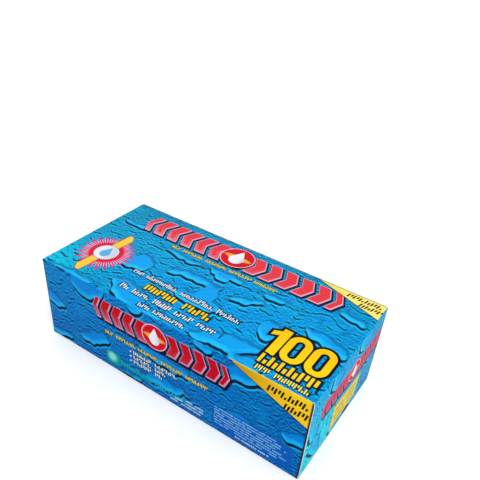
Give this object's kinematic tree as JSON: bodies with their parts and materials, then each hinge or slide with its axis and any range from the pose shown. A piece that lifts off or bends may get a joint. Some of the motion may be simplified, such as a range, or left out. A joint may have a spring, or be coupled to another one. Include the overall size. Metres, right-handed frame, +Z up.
{
  "type": "disposable glove dispensing carton",
  "caption": "Printed paperboard tuck-end carton of flat-packed disposable nitrile gloves, with a perforated tear-out dispensing window in its top.",
  "frame": {"origin": "centre of the carton's bottom face", "axes": "+X along the carton's length, -Y towards its front panel, +Z up through the dispensing window"},
  "size_m": [0.24, 0.118, 0.075],
  "materials": {
    "printed_board": "glossy printed paperboard",
    "bare_board": "uncoated grey-white paperboard",
    "adhesive": "dried hot-melt adhesive",
    "nitrile": "satin nitrile film"
  },
  "bodies": {
    "root": {"top_panel": "printed_board", "front_panel": "printed_board", "bottom_panel": "printed_board", "back_panel": "printed_board", "glue_flap": "bare_board", "seam_adhesive": "adhesive", "glove_01": "nitrile", "glove_02": "nitrile", "glove_03": "nitrile", "glove_04": "nitrile", "glove_05": "nitrile", "glove_06": "nitrile", "glove_07": "nitrile", "glove_08": "nitrile", "glove_09": "nitrile", "glove_10": "nitrile", "gloves_011_020": "nitrile", "gloves_021_030": "nitrile", "gloves_031_040": "nitrile", "gloves_041_050": "nitrile", "gloves_051_060": "nitrile", "gloves_061_070": "nitrile", "gloves_071_080": "nitrile", "gloves_081_090": "nitrile", "gloves_091_100": "nitrile"},
    "window": {"tear_out_panel": "printed_board"},
    "right_closure": {"right_closure_panel": "printed_board"},
    "right_tuck": {"right_tuck_flap": "bare_board"},
    "right_front_dust": {"right_front_dust_flap": "bare_board"},
    "right_back_dust": {"right_back_dust_flap": "bare_board"},
    "left_closure": {"left_closure_panel": "printed_board"},
    "left_tuck": {"left_tuck_flap": "bare_board"},
    "left_front_dust": {"left_front_dust_flap": "bare_board"},
    "left_back_dust": {"left_back_dust_flap": "bare_board"}
  },
  "joints": [
    {"name": "tear_out_lift", "type": "slide", "parent": "root", "child": "window", "axis": [0, 0, 1], "range_m": [0, 0.06]},
    {"name": "right_closure_hinge", "type": "hinge", "parent": "root", "child": "right_closure", "pos_m": [0.12, 0, 0.075], "axis": [0, -1, 0], "range_deg": [0, 180]},
    {"name": "right_tuck_crease", "type": "hinge", "parent": "right_closure", "child": "right_tuck", "pos_m": [0.12, 0, 0.00065], "axis": [0, -1, 0], "range_deg": [0, 90]},
    {"name": "right_front_dust_crease", "type": "hinge", "parent": "root", "child": "right_front_dust", "pos_m": [0.11935, -0.059, 0.0375], "axis": [0, 0, -1], "range_deg": [0, 99]},
    {"name": "right_back_dust_crease", "type": "hinge", "parent": "root", "child": "right_back_dust", "pos_m": [0.11935, 0.059, 0.0375], "axis": [0, 0, 1], "range_deg": [0, 99]},
    {"name": "left_closure_hinge", "type": "hinge", "parent": "root", "child": "left_closure", "pos_m": [-0.12, 0, 0.075], "axis": [0, 1, 0], "range_deg": [0, 180]},
    {"name": "left_tuck_crease", "type": "hinge", "parent": "left_closure", "child": "left_tuck", "pos_m": [-0.12, 0, 0.00065], "axis": [0, 1, 0], "range_deg": [0, 90]},
    {"name": "left_front_dust_crease", "type": "hinge", "parent": "root", "child": "left_front_dust", "pos_m": [-0.11935, -0.059, 0.0375], "axis": [0, 0, 1], "range_deg": [0, 99]},
    {"name": "left_back_dust_crease", "type": "hinge", "parent": "root", "child": "left_back_dust", "pos_m": [-0.11935, 0.059, 0.0375], "axis": [0, 0, -1], "range_deg": [0, 99]}
  ],
  "couplings": [
    {"joint": "right_tuck_crease", "follows": "right_closure_hinge", "ratio": 0.5},
    {"joint": "right_front_dust_crease", "follows": "right_closure_hinge", "ratio": 0.55},
    {"joint": "right_back_dust_crease", "follows": "right_closure_hinge", "ratio": 0.55},
    {"joint": "left_tuck_crease", "follows": "left_closure_hinge", "ratio": 0.5},
    {"joint": "left_front_dust_crease", "follows": "left_closure_hinge", "ratio": 0.55},
    {"joint": "left_back_dust_crease", "follows": "left_closure_hinge", "ratio": 0.55}
  ]
}
